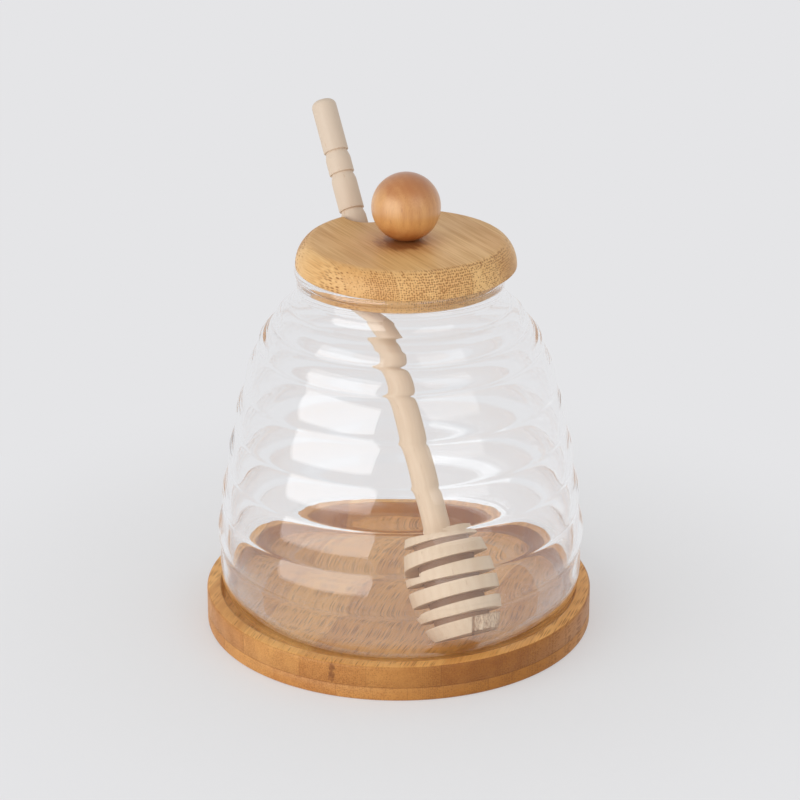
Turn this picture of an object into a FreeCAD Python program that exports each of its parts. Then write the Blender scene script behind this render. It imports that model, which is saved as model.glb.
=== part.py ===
import FreeCAD, Part
import math
import os

import Sketcher

# A glass honey pot standing in a shallow bamboo saucer, closed by a bamboo lid with a ball knob.
# A turned wooden dipper stands in the pot: its head sits in the foot corner at the front, and its
# handle leans on the rim at the back and leaves through a slot in the lid.
#
# Frame: +Z is up, the origin is under the middle of the saucer, on the surface it stands on.
# +Y is the back, where the handle comes out. Lengths are in millimetres, angles in degrees.

SIZES = {
    # Saucer
    "saucer_thick": 11.2,
    "saucer_rim_width": 4.6,
    "saucer_floor": 5.0,  # board left under the recess
    "saucer_edge_round": 0.8,
    "recess_corner_round": 1.5,
    "recess_play": 0.4,  # room left where the jar comes nearest to the recess's wall
    # Jar: heights are measured up from its foot, drops are measured down from its rim. The
    # diameters are those of the grooves between the ribs. A share says how much of the way from
    # the neck out to the belly the wall has come at its height.
    "jar_side_shift": 0.6,  # the jar stands a little to the right in its recess
    "jar_height": 110.7,
    "jar_wall": 1.9,
    "jar_bottom": 2.2,
    "foot_corner_round": 12.5,
    "foot_bulge": 0.3,  # the wall above the foot corner stands out this far beyond the belly
    "belly_diameter": 111.6,
    "belly_height": 20.0,
    "waist_share": 0.84,
    "waist_height": 52.0,
    "upper_share": 0.553,
    "upper_drop": 29.7,
    "shoulder_share": 0.385,
    "shoulder_drop": 20.7,
    "collar_step": 2.0,  # the foot of the collar stands out this far beyond the neck
    "collar_drop": 11.1,
    "neck_diameter": 62.8,
    "neck_length": 7.7,
    "neck_wall": 2.1,
    "rim_lip": 0.6,  # the rim bead stands out this far beyond the neck
    "rim_bead": 3.0,
    "rib_depth": 1.1,  # at the belly and below
    "rib_depth_top": 0.9,  # at the collar
    "lowest_groove_height": 20.0,
    "shoulder_groove_drop": 25.7,
    # Lid: one disc with a plug under it
    "lid_overhang": 1.3,  # beyond the rim bead
    "lid_edge_width": 5.4,  # from the flat face out to the lid's widest line
    "lid_thick": 8.0,
    "lid_edge_land": 0.3,
    "lid_top_round": 3.9,
    "lid_side_shift": 1.65,
    "lid_back_shift": 0.4,
    "plug_play": 1.8,
    "plug_depth": 4.7,
    "slot_play": 2.75,
    "slot_offset": 2.2,  # the slot's centre line passes the handle's axis by this much
    # Ball knob
    "knob_diameter": 20.8,
    "knob_flat": 0.3,  # how much of the ball is cut off where it sits on the lid
    # Dipper
    "dipper_length": 171.4,
    "handle_foot_diameter": 8.1,
    "handle_end_diameter": 7.7,
    "handle_end_round": 2.2,
    "head_foot_diameter": 19.2,
    "head_wide_diameter": 27.2,
    "head_wide_height": 15.3,
    "head_top_diameter": 20.6,
    "head_core_diameter": 17.0,
    "head_slot": 2.05,
    "groove_depth": 0.65,
    "groove_width": 2.6,
    "dipper_heading": 116.7,  # direction in which the handle leans, counted from +X
    "dipper_offset": 1.35,  # the dipper's upright plane passes the jar's axis by this much
    "touch_gap": 0.05,  # left where pieces lean on each other
}

# Sizes that follow from the ones above.
FOLLOWING = {
    "rim_diameter": "neck_diameter + 2 * rim_lip",
    "collar_diameter": "neck_diameter + 2 * collar_step",
    "shoulder_diameter": "neck_diameter + (belly_diameter - neck_diameter) * shoulder_share",
    "upper_diameter": "neck_diameter + (belly_diameter - neck_diameter) * upper_share",
    "waist_diameter": "neck_diameter + (belly_diameter - neck_diameter) * waist_share",
    "foot_wall_diameter": "belly_diameter + 2 * foot_bulge",
    # The recess clears the jar's foot corner at the height of the saucer's top.
    "recess_depth": "saucer_thick - saucer_floor",
    "corner_left": "foot_corner_round - min(recess_depth; foot_corner_round)",
    "corner_reach": "foot_corner_round - sqrt(foot_corner_round ^ 2 - corner_left ^ 2)",
    "recess_diameter": "foot_wall_diameter - 2 * corner_reach + 2 * (jar_side_shift + recess_play)",
    "saucer_diameter": "recess_diameter + 2 * saucer_rim_width",
    "lid_diameter": "rim_diameter + 2 * lid_overhang",
    "lid_face_diameter": "lid_diameter - 2 * lid_edge_width",
}

# Discs of the dipper's head, from its foot up: how thick each one is.
DISC_THICK = (4.3, 3.1, 4.2, 3.3, 4.1, 3.1)
# Rings cut round the handle: how far below its end each one starts.
GROOVE_DROPS = (16.9, 24.1, 36.0)

BODY_RIBS = 5  # between the lowest groove and the shoulder groove
SHOULDER_RIBS = 2  # between the shoulder groove and the collar
GROOVE_SOFTNESS = 0.2  # 0 makes the grooves sharp, more makes them wider and rounder
# Shares of a rib's height at which the jar's wall is drawn.
RIB_PLACES = (0, 0.06, 0.15, 0.32, 0.5, 0.68, 0.85, 0.94, 1)

document = FreeCAD.newDocument("HoneyPot")
sheet = document.addObject("Spreadsheet::Sheet", "Sizes")


def fill_sheet():
    """Write every size in the sheet, each under its own alias."""
    numbered = [(f"disc_thick_{spelled(i)}", value) for i, value in enumerate(DISC_THICK)]
    numbered += [(f"groove_drop_{spelled(i)}", value) for i, value in enumerate(GROOVE_DROPS)]
    followers = [(alias, f"={expression}") for alias, expression in FOLLOWING.items()]
    rows = list(SIZES.items()) + numbered + followers
    for row, (alias, value) in enumerate(rows, start=1):
        sheet.set(f"A{row}", alias)
        sheet.set(f"B{row}", str(value))
        sheet.setAlias(f"B{row}", alias)
    document.recompute()


def spelled(index):
    """Number of a repeated piece as a word, because an alias must not look like a cell."""
    return ("first", "second", "third", "fourth", "fifth", "sixth")[index]


def size(alias):
    """Value of one size, read from the sheet."""
    return float(getattr(sheet, alias))


def cell(alias):
    """The same size as a term of an expression."""
    return f"Sizes.{alias}"


def worked_out(expression):
    """Number that an expression on the sheet's cells comes to."""
    found = sheet.evalExpression(expression)
    return float(getattr(found, "Value", found))


# Sketch helpers


def body_sketch(body, name, role):
    """A new sketch on one of the body's own origin planes."""
    plane = next(item for item in body.Origin.OriginFeatures if item.Role == role)
    sketch = body.newObject("Sketcher::SketchObject", name)
    sketch.AttachmentSupport = [(plane, "")]
    sketch.MapMode = "FlatFace"
    return sketch


def hold(sketch, geometry, point, across, along):
    """Fix one point of the sketch at (across, along), both given as expressions."""
    for kind, axis, expression in (("DistanceX", -2, across), ("DistanceY", -1, along)):
        if expression == "0":
            sketch.addConstraint(Sketcher.Constraint("PointOnObject", geometry, point, axis))
            continue
        value = worked_out(expression)
        index = sketch.addConstraint(Sketcher.Constraint(kind, -1, 1, geometry, point, value))
        sketch.setExpression(f"Constraints[{index}]", expression)


def hold_centre(sketch, arc, direction, expression):
    """Fix the height ("level") or the distance from the axis ("plumb") of an arc's centre."""
    kind = "DistanceY" if direction == "level" else "DistanceX"
    index = sketch.addConstraint(Sketcher.Constraint(kind, -1, 1, arc, 3, worked_out(expression)))
    sketch.setExpression(f"Constraints[{index}]", expression)


def arc_between(start, end, direction, known):
    """Arc from start to end whose centre has one known coordinate, the shorter way round."""
    (x0, y0), (x1, y1) = start, end
    if direction == "level":
        centre = ((x1**2 - x0**2 + (y1 - known) ** 2 - (y0 - known) ** 2) / (2 * (x1 - x0)), known)
    else:
        centre = (known, (y1**2 - y0**2 + (x1 - known) ** 2 - (x0 - known) ** 2) / (2 * (y1 - y0)))
    radius = math.dist(centre, start)
    first = math.atan2(y0 - centre[1], x0 - centre[0])
    last = math.atan2(y1 - centre[1], x1 - centre[0])
    turn = (last - first + math.pi) % (2 * math.pi) - math.pi
    circle = Part.Circle(FreeCAD.Vector(centre[0], centre[1], 0), FreeCAD.Vector(0, 0, 1), radius)
    if turn > 0:
        return Part.ArcOfCircle(circle, first, first + turn), True
    return Part.ArcOfCircle(circle, last, last - turn), False


def outline(sketch, corners, arcs=None):
    """Close a bound outline through the corners.

    corners holds (across, along) expressions. arcs maps the number of a side to the direction and
    expression that hold its centre; every other side is straight.
    """
    arcs = arcs or {}
    spots = [(worked_out(x), worked_out(y)) for x, y in corners]
    ends = []
    for side in range(len(corners)):
        start, end = spots[side], spots[(side + 1) % len(spots)]
        if side in arcs:
            direction, expression = arcs[side]
            arc, forward = arc_between(start, end, direction, worked_out(expression))
            index = sketch.addGeometry(arc, False)
            ends.append((index, 1 if forward else 2, 2 if forward else 1))
        else:
            line = Part.LineSegment(FreeCAD.Vector(*start, 0), FreeCAD.Vector(*end, 0))
            ends.append((sketch.addGeometry(line, False), 1, 2))
    for side, (index, first, last) in enumerate(ends):
        following, its_first, _ = ends[(side + 1) % len(ends)]
        sketch.addConstraint(Sketcher.Constraint("Coincident", index, last, following, its_first))
        hold(sketch, index, first, *corners[side])
    for side, (direction, expression) in arcs.items():
        hold_centre(sketch, ends[side][0], direction, expression)


def revolved(body, name, sketch):
    """Turn the sketch once round its upright axis."""
    feature = body.newObject("PartDesign::Revolution", name)
    feature.Profile = sketch
    feature.ReferenceAxis = (sketch, ["V_Axis"])
    feature.Angle = 360
    sketch.Visibility = False
    return feature


def ring_edges(feature, radius, height):
    """Names of the circular edges of a feature with this radius at this height."""
    names = []
    for number, edge in enumerate(feature.Shape.Edges, start=1):
        if not isinstance(edge.Curve, Part.Circle):
            continue
        right_radius = abs(edge.Curve.Radius - radius) < 1e-4
        if right_radius and abs(edge.Curve.Center.z - height) < 1e-4:
            names.append(f"Edge{number}")
    return names


def rounded(body, name, base, edges, alias):
    """Round edges of the last feature by the size under this alias."""
    fillet = body.newObject("PartDesign::Fillet", name)
    fillet.Base = (base, edges)
    fillet.setExpression("Radius", cell(alias))
    document.recompute()
    return fillet


# Sub-parts


def make_saucer():
    """Flat round bamboo board with a shallow round recess, which leaves a narrow rim."""
    body = document.addObject("PartDesign::Body", "Saucer")
    body.Label = "saucer"
    radius = f"{cell('saucer_diameter')} / 2"
    recess = f"{cell('recess_diameter')} / 2"
    top = cell("saucer_thick")
    floor = cell("saucer_floor")
    sketch = body_sketch(body, "SaucerOutline", "XZ_Plane")
    outline(
        sketch,
        [("0", "0"), (radius, "0"), (radius, top), (recess, top), (recess, floor), ("0", floor)],
    )
    board = revolved(body, "SaucerBoard", sketch)
    document.recompute()
    outside = size("saucer_diameter") / 2
    inside = size("recess_diameter") / 2
    thick = size("saucer_thick")
    edges = ring_edges(board, outside, 0) + ring_edges(board, outside, thick)
    edges += ring_edges(board, inside, thick)
    soft = rounded(body, "SaucerEdges", board, edges, "saucer_edge_round")
    corner = ring_edges(soft, inside, size("saucer_floor"))
    rounded(body, "RecessCorner", soft, corner, "recess_corner_round")
    return body


def jar_stations():
    """Radius of the jar in its grooves at the heights that give it its shape, from the foot up."""
    rim = size("jar_height")
    return [
        (size("foot_corner_round"), size("foot_wall_diameter") / 2 - size("rib_depth")),
        (size("belly_height"), size("belly_diameter") / 2),
        (size("waist_height"), size("waist_diameter") / 2),
        (rim - size("upper_drop"), size("upper_diameter") / 2),
        (rim - size("shoulder_drop"), size("shoulder_diameter") / 2),
        (rim - size("collar_drop"), size("collar_diameter") / 2),
        (rim - size("neck_length"), size("neck_diameter") / 2),
    ]


def smooth_through(stations):
    """Function that runs smoothly through (height, radius) stations and doesn't overshoot them."""
    heights = [height for height, _ in stations]
    radii = [radius for _, radius in stations]
    steps = [high - low for low, high in zip(heights, heights[1:])]
    slopes = [(radii[i + 1] - radii[i]) / steps[i] for i in range(len(steps))]
    tangents = [0.0]
    for i in range(1, len(steps)):
        before, after = slopes[i - 1], slopes[i]
        tangents.append(2 * before * after / (before + after) if before * after > 0 else 0.0)
    tangents.append(0.0)

    def radius_at(height):
        place = min(max(height, heights[0]), heights[-1])
        i = max(k for k in range(len(steps)) if heights[k] <= place)
        share = (place - heights[i]) / steps[i]
        rest = 1 - share
        ends = radii[i] * rest**2 * (1 + 2 * share) + radii[i + 1] * share**2 * (3 - 2 * share)
        pulls = tangents[i] * share * rest**2 - tangents[i + 1] * share**2 * rest
        return ends + steps[i] * pulls

    return radius_at


def rib_grooves():
    """Heights of the grooves between the jar's ribs, from its foot corner up to its collar."""
    lowest = size("lowest_groove_height")
    shoulder = size("jar_height") - size("shoulder_groove_drop")
    collar = size("jar_height") - size("collar_drop")
    grooves = [size("foot_corner_round")]
    grooves += [lowest + (shoulder - lowest) * k / BODY_RIBS for k in range(BODY_RIBS)]
    grooves += [shoulder + (collar - shoulder) * k / SHOULDER_RIBS for k in range(SHOULDER_RIBS + 1)]
    return grooves


def rib_swell(height):
    """How far the wall stands out of its grooves at a height, most on a rib's crest.

    The lowest rib has no lower flank: its crest runs into the foot corner.
    """
    grooves = rib_grooves()
    rise = max(height - size("belly_height"), 0) / (grooves[-1] - size("belly_height"))
    depth = size("rib_depth") + (size("rib_depth_top") - size("rib_depth")) * rise
    for low, high in zip(grooves, grooves[1:]):
        if low <= height <= high:
            share = (height - low) / (high - low)
            across = 0.5 + share / 2 if low == grooves[0] else share
            swell = math.hypot(math.sin(math.pi * across), GROOVE_SOFTNESS) - GROOVE_SOFTNESS
            return depth * swell / (math.hypot(1, GROOVE_SOFTNESS) - GROOVE_SOFTNESS)
    return 0.0


def jar_inner_radius(height):
    """Inner radius of the jar at a height above its foot, below the neck."""
    groove_radius = smooth_through(jar_stations())
    nudge = 0.01
    slope = (groove_radius(height + nudge) - groove_radius(height - nudge)) / (2 * nudge)
    wall = size("jar_wall") * math.sqrt(1 + slope**2)
    return groove_radius(height) - wall + rib_swell(height)


def rib_heights():
    """Heights at which the jar's wall is drawn, as one list for each rib."""
    grooves = rib_grooves()
    pairs = zip(grooves, grooves[1:])
    return [[low + (high - low) * share for share in RIB_PLACES] for low, high in pairs]


def flat(spots):
    """Points of the jar's section, drawn flat with its height along Y, from (radius, height)."""
    return [FreeCAD.Vector(radius, height, 0) for radius, height in spots]


def spline_edge(spots):
    """Smooth edge through the (radius, height) spots."""
    curve = Part.BSplineCurve()
    curve.interpolate(Points=flat(spots))
    return curve.toShape()


def rim_edge(radius, bead_radius, bead_height):
    """Height at which the neck's wall at this radius runs into the rim bead from below."""
    return bead_height - math.sqrt((size("rim_bead") / 2) ** 2 - (radius - bead_radius) ** 2)


def jar_section():
    """Edges round half of the jar's cut face, from the middle of its foot out, up and back in."""
    groove_radius = smooth_through(jar_stations())
    rim = size("jar_height")
    corner = size("foot_corner_round")
    bottom = size("jar_bottom")
    wall = size("neck_wall")
    neck = size("neck_diameter") / 2
    bore = neck - wall
    bead = size("rim_bead") / 2
    bead_middle = (size("rim_diameter") / 2 - bead, rim - bead)
    neck_foot = rim - size("neck_length")
    foot_wall = size("foot_wall_diameter") / 2

    def outside(z):
        return groove_radius(z) + rib_swell(z), z

    outer_ribs = [[outside(z) for z in heights] for heights in rib_heights()]
    collar_foot = outer_ribs[-1][-1]
    collar, _ = arc_between(collar_foot, (neck, neck_foot), "level", neck_foot)
    # The neck turns into the shoulder round one centre, inside and outside.
    spread = (collar.Radius + wall) / collar.Radius
    inner_collar = (
        collar.Center.x + (collar_foot[0] - collar.Center.x) * spread,
        collar.Center.y + (collar_foot[1] - collar.Center.y) * spread,
    )
    ceiling = inner_collar[1] - size("jar_wall")
    inner_ribs = [
        [(jar_inner_radius(z), z) for z in heights if z < ceiling]
        for heights in rib_heights()
        if heights[1] < ceiling
    ]
    inner_ribs[-1].append(inner_collar)
    inner_wall = inner_ribs[0][0]
    inner_foot = (inner_wall[0] - (corner - bottom), bottom)
    outer_foot = (foot_wall - corner, 0)
    rim_outside = (neck, rim_edge(neck, *bead_middle))
    rim_inside = (bore, rim_edge(bore, *bead_middle))

    def line(start, end):
        return Part.makeLine(*flat([start, end]))

    def arc(start, end, level):
        return arc_between(start, end, "level", level)[0].toShape()

    over_rim = Part.Arc(*flat([rim_outside, (bead_middle[0], rim), rim_inside])).toShape()
    return [
        line((0, 0), outer_foot),
        arc(outer_foot, outer_ribs[0][0], corner),
        *[spline_edge(rib) for rib in outer_ribs],
        collar.toShape(),
        line((neck, neck_foot), rim_outside),
        over_rim,
        line(rim_inside, (bore, neck_foot)),
        arc((bore, neck_foot), inner_collar, neck_foot),
        *[spline_edge(rib) for rib in reversed(inner_ribs)],
        arc(inner_wall, inner_foot, corner),
        line(inner_foot, (0, bottom)),
        line((0, bottom), (0, 0)),
    ]


def make_jar():
    """Clear glass jar: ribbed round wall, rounded foot corner, straight neck and a beaded rim."""
    section = Part.Face(Part.Wire(jar_section()))
    if not section.isValid():
        raise RuntimeError("the jar's section crosses itself")
    jar = document.addObject("Part::Feature", "Jar")
    jar.Label = "jar"
    jar.Shape = section.revolve(FreeCAD.Vector(0, 0, 0), FreeCAD.Vector(0, 1, 0), 360)
    upright = FreeCAD.Rotation(FreeCAD.Vector(1, 0, 0), 90)
    jar.Placement = FreeCAD.Placement(jar_place(), upright)
    return jar


def jar_place():
    """Middle of the jar's foot, on the floor of the saucer's recess."""
    return FreeCAD.Vector(size("jar_side_shift"), 0, size("saucer_floor"))


def lid_place():
    """Middle of the lid's underside, on the jar's rim."""
    shift = FreeCAD.Vector(size("lid_side_shift"), size("lid_back_shift"), size("jar_height"))
    return jar_place() + shift


def handle_radius(height_share):
    """Radius of the handle at a share of its length, from its foot to its end."""
    foot, end = size("handle_foot_diameter") / 2, size("handle_end_diameter") / 2
    return foot + (end - foot) * height_share


def barrel_radius(height):
    """Radius of the dipper's head at a height above its foot."""
    wide = size("head_wide_diameter") / 2
    level = size("head_wide_height")
    if height < level:
        end, drop = size("head_foot_diameter") / 2, -level
    else:
        end, drop = size("head_top_diameter") / 2, worked_out(disc_levels()[-1]) - level
    middle = (wide**2 - end**2 - drop**2) / (2 * (wide - end))
    return middle + math.sqrt((wide - middle) ** 2 - (height - level) ** 2)


def disc_edges():
    """(radius, height) of the lower and upper edge of each disc of the dipper's head."""
    tops = [worked_out(level) for level in disc_levels()]
    bottoms = [0.0] + [top + size("head_slot") for top in tops[:-1]]
    return [(barrel_radius(height), height) for height in bottoms + tops]


def dipper_lean():
    """Lean of the dipper from upright, and its foot's place in its upright plane.

    The last disc stands with its back edge on the jar's floor, the disc that comes nearest to the
    wall at the front stands against it, and the handle leans back on the rim bead. The place is
    (out, up): out from the jar's axis towards the handle's side, and up from the jar's foot.
    """
    foot = size("head_foot_diameter") / 2
    edges = disc_edges()
    gap = size("touch_gap")
    bead = size("rim_bead") / 2
    bead_out = size("rim_diameter") / 2 - bead
    bead_up = size("jar_height") - bead
    offset = size("dipper_offset")
    share = size("jar_height") / size("dipper_length")

    def foot_place(lean):
        up = size("jar_bottom") + gap + foot * math.sin(lean)
        outs = []
        for radius, height in edges:
            edge_up = up + height * math.cos(lean) + radius * math.sin(lean)
            wall = math.sqrt(jar_inner_radius(edge_up) ** 2 - offset**2) - gap
            outs.append(radius * math.cos(lean) - height * math.sin(lean) - wall)
        return max(outs), up

    def room_behind(lean):
        out, up = foot_place(lean)
        axis_out = out + (bead_up - up) * math.tan(lean)
        reach = (handle_radius(share) + bead + gap) / math.cos(lean)
        return math.sqrt(bead_out**2 - offset**2) - axis_out - reach

    low, high = 0.0, math.radians(60)
    while high - low > 1e-9:
        middle = (low + high) / 2
        if room_behind(middle) > 0:
            low = middle
        else:
            high = middle
    return low, foot_place(low)


def dipper_placement():
    """Placement that stands the dipper, drawn upright on its foot, in the jar."""
    lean, (out, up) = dipper_lean()
    heading = FreeCAD.Rotation(FreeCAD.Vector(0, 0, 1), size("dipper_heading"))
    tip = FreeCAD.Rotation(FreeCAD.Vector(0, 1, 0), math.degrees(lean))
    place = jar_place() + heading.multVec(FreeCAD.Vector(out, size("dipper_offset"), up))
    return FreeCAD.Placement(place, heading.multiply(tip))


def handle_axis_at(height):
    """Point of the dipper's axis at a height above the table."""
    placement = dipper_placement()
    direction = placement.Rotation.multVec(FreeCAD.Vector(0, 0, 1))
    return placement.Base + direction * ((height - placement.Base.z) / direction.z)


def slot_heading():
    """Direction of the lid's slot, counted from +X: beside the handle's axis by slot_offset."""
    middle = handle_axis_at(lid_place().z + size("lid_thick") / 2) - lid_place()
    away = math.hypot(middle.x, middle.y)
    aside = math.asin(min(size("slot_offset") / away, 1))
    return math.degrees(math.atan2(middle.y, middle.x) - aside)


def slot_centre(height):
    """How far from the lid's middle the slot's round end is centred, to clear the handle there."""
    lean, _ = dipper_lean()
    toward = FreeCAD.Rotation(FreeCAD.Vector(0, 0, 1), -slot_heading())
    handle = toward.multVec(handle_axis_at(height) - lid_place())
    section = handle_radius(0) / math.cos(lean)
    spare = handle_radius(0) + size("slot_play") - section
    return handle.x + math.sqrt(max(spare**2 - handle.y**2, 0))


def cut_slot(body, name, centre, top, depth):
    """Cut a round-ended slot, open at the rim, downwards from a height of the lid's body."""
    sketch = body_sketch(body, f"{name}Outline", "XY_Plane")
    turn = FreeCAD.Rotation(FreeCAD.Vector(0, 0, 1), slot_heading())
    sketch.AttachmentOffset = FreeCAD.Placement(FreeCAD.Vector(0, 0, top), turn)
    half = size("handle_foot_diameter") / 2 + size("slot_play")
    beyond = size("lid_diameter") / 2 + half
    low, high = FreeCAD.Vector(centre, -half, 0), FreeCAD.Vector(centre, half, 0)
    far_low, far_high = FreeCAD.Vector(beyond, -half, 0), FreeCAD.Vector(beyond, half, 0)
    circle = Part.Circle(FreeCAD.Vector(centre, 0, 0), FreeCAD.Vector(0, 0, 1), half)
    sketch.addGeometry(Part.ArcOfCircle(circle, math.pi / 2, 3 * math.pi / 2), False)
    for start, end in ((low, far_low), (far_low, far_high), (far_high, high)):
        sketch.addGeometry(Part.LineSegment(start, end), False)
    for joint in ((0, 2, 1, 1), (3, 2, 0, 1)):
        sketch.addConstraint(Sketcher.Constraint("Tangent", *joint))
    for joint in ((1, 2, 2, 1), (2, 2, 3, 1)):
        sketch.addConstraint(Sketcher.Constraint("Coincident", *joint))
    for line, kind in ((1, "Horizontal"), (2, "Vertical")):
        sketch.addConstraint(Sketcher.Constraint(kind, line))
    sketch.addConstraint(Sketcher.Constraint("PointOnObject", 0, 3, -1))
    sketch.addConstraint(Sketcher.Constraint("DistanceX", -1, 1, 0, 3, centre))
    sketch.addConstraint(Sketcher.Constraint("DistanceX", -1, 1, 1, 2, beyond))
    wide = sketch.addConstraint(Sketcher.Constraint("Radius", 0, half))
    sketch.setExpression(
        f"Constraints[{wide}]", f"{cell('handle_foot_diameter')} / 2 + {cell('slot_play')}"
    )
    pocket = body.newObject("PartDesign::Pocket", name)
    pocket.Profile = sketch
    pocket.Length = depth
    sketch.Visibility = False
    document.recompute()
    return pocket


def make_lid():
    """Round bamboo lid: a disc with a full rounded edge, and a plug that hangs in the neck."""
    body = document.addObject("PartDesign::Body", "Lid")
    body.Label = "lid"
    radius = f"{cell('lid_diameter')} / 2"
    face = f"{cell('lid_face_diameter')} / 2"
    under = cell("plug_depth")
    top = f"({under} + {cell('lid_thick')})"
    land = f"({under} + {cell('lid_edge_land')})"
    bore = f"({cell('rim_diameter')} / 2 - {cell('rim_bead')})"
    plug = f"({bore} - {cell('plug_play')})"
    # The edge is a small arc that runs level out of the face, and a larger arc down to the land.
    tight = cell("lid_top_round")
    widening = f"({radius} - {face} - {tight})"
    falling = f"({top} - {land} - {tight})"
    turn = f"(2 * atan({widening} / {falling}))"
    joint = (f"{face} + {tight} * cos({turn})", f"{top} - {tight} + {tight} * sin({turn})")
    corners = [
        ("0", "0"),
        (plug, "0"),
        (plug, under),
        (radius, under),
        (radius, land),
        joint,
        (face, top),
        ("0", top),
    ]
    sketch = body_sketch(body, "LidOutline", "XZ_Plane")
    outline(sketch, corners, {4: ("level", land), 5: ("plumb", face)})
    revolved(body, "LidDisc", sketch)
    document.recompute()
    under_height = size("plug_depth")
    lid_height = under_height + size("lid_thick")
    whole = body.Shape.Volume
    disc_slot = slot_centre(lid_place().z)
    plug_slot = slot_centre(lid_place().z - under_height)
    cut_slot(body, "HandleSlot", disc_slot, lid_height, lid_height)
    cut_slot(body, "PlugSlot", plug_slot, under_height, under_height)
    if body.Shape.Volume >= whole:
        raise RuntimeError("the lid's slot cuts nothing")
    base = lid_place() - FreeCAD.Vector(0, 0, under_height)
    body.Placement = FreeCAD.Placement(base, FreeCAD.Rotation())
    return body


def make_knob():
    """Wooden ball that stands on a small flat in the middle of the lid."""
    ball = document.addObject("Part::Sphere", "Knob")
    ball.Label = "knob"
    radius = f"({cell('knob_diameter')} / 2)"
    ball.setExpression("Radius", radius)
    ball.setExpression("Angle1", f"-asin(({radius} - {cell('knob_flat')}) / {radius})")
    lift = size("lid_thick") + size("knob_diameter") / 2 - size("knob_flat")
    ball.Placement = FreeCAD.Placement(lid_place() + FreeCAD.Vector(0, 0, lift), FreeCAD.Rotation())
    return ball


def disc_levels():
    """Expression for the top of each disc of the dipper's head, counted from its foot."""
    levels = []
    reached = "0"
    for number in range(len(DISC_THICK)):
        reached = f"{reached} + {cell('disc_thick_' + spelled(number))}"
        levels.append(reached)
        reached = f"{reached} + {cell('head_slot')}"
    return levels


def cut_round(body, name, corners):
    """Turn a groove with this outline round the dipper's axis."""
    sketch = body_sketch(body, f"{name}Outline", "XZ_Plane")
    outline(sketch, corners)
    before = body.Shape.Volume
    groove = body.newObject("PartDesign::Groove", name)
    groove.Profile = sketch
    groove.ReferenceAxis = (sketch, ["V_Axis"])
    groove.Angle = 360
    sketch.Visibility = False
    document.recompute()
    if body.Shape.Volume >= before:
        raise RuntimeError(f"{name} cuts nothing")


def make_dipper():
    """Turned wooden dipper: a barrel head cut into discs, and a handle with rings cut round it."""
    body = document.addObject("PartDesign::Body", "Dipper")
    body.Label = "dipper"
    levels = disc_levels()
    head_top = levels[-1]
    length = cell("dipper_length")
    wide_height = cell("head_wide_height")
    wide = f"{cell('head_wide_diameter')} / 2"
    handle_foot = f"{cell('handle_foot_diameter')} / 2"
    handle_end = f"{cell('handle_end_diameter')} / 2"
    end_round = cell("handle_end_round")
    corners = [
        ("0", "0"),
        (f"{cell('head_foot_diameter')} / 2", "0"),
        (wide, wide_height),
        (f"{cell('head_top_diameter')} / 2", head_top),
        (handle_foot, head_top),
        (handle_end, f"{length} - {end_round}"),
        (f"{handle_end} - {end_round}", length),
        ("0", length),
    ]
    arcs = {1: ("level", wide_height), 2: ("level", wide_height), 5: ("level", f"{length} - {end_round}")}
    sketch = body_sketch(body, "DipperOutline", "XZ_Plane")
    outline(sketch, corners, arcs)
    revolved(body, "DipperBlank", sketch)
    document.recompute()

    core = f"{cell('head_core_diameter')} / 2"
    outer = f"{wide} + {cell('groove_width')}"
    for number, level in enumerate(levels[:-1]):
        top = f"{level} + {cell('head_slot')}"
        slot = [(core, level), (outer, level), (outer, top), (core, top)]
        cut_round(body, f"HeadSlot{number + 1}", slot)
    for number in range(len(GROOVE_DROPS)):
        step = f"{length} - {cell('groove_drop_' + spelled(number))}"
        fade = f"{step} - {cell('groove_width')}"
        beyond = f"{handle_foot} + {cell('groove_depth')}"
        bottom = f"{handle_end} - {cell('groove_depth')}"
        slant = [(bottom, step), (beyond, fade), (beyond, step)]
        cut_round(body, f"HandleRing{number + 1}", slant)
    body.Placement = dipper_placement()
    return body


def check(parts):
    """Stop when an object failed, or when a sub-part isn't one valid solid."""
    document.recompute()
    for item in document.Objects:
        if "Invalid" in item.State or "Error" in item.State:
            raise RuntimeError(f"{item.Name} failed: {item.State}")
    for part in parts:
        shape = part.Shape
        if shape.isNull() or not shape.isValid() or len(shape.Solids) != 1:
            raise RuntimeError(f"{part.Label} isn't one valid solid")


fill_sheet()
made = [make_saucer(), make_jar(), make_lid(), make_knob(), make_dipper()]
check(made)

os.makedirs("parts", exist_ok=True)
for part in made:
    part.Shape.exportStep(f"parts/{part.Label}.step")
    box = part.Shape.BoundBox
    print(
        f"{part.Label}: volume {part.Shape.Volume:.0f} mm3, from "
        f"({box.XMin:.1f}, {box.YMin:.1f}, {box.ZMin:.1f}) to "
        f"({box.XMax:.1f}, {box.YMax:.1f}, {box.ZMax:.1f})"
    )
lean, (foot_out, foot_up) = dipper_lean()
print(f"dipper leans {math.degrees(lean):.2f} degrees, foot at {foot_out:.2f} out, {foot_up:.2f} up")
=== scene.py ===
"""Looks of a glass honey pot: bamboo saucer, ribbed jar, lid, ball knob and honey dipper."""

import enum
import logging
import math
from dataclasses import dataclass
from typing import Callable, ClassVar, Optional, Union

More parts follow.
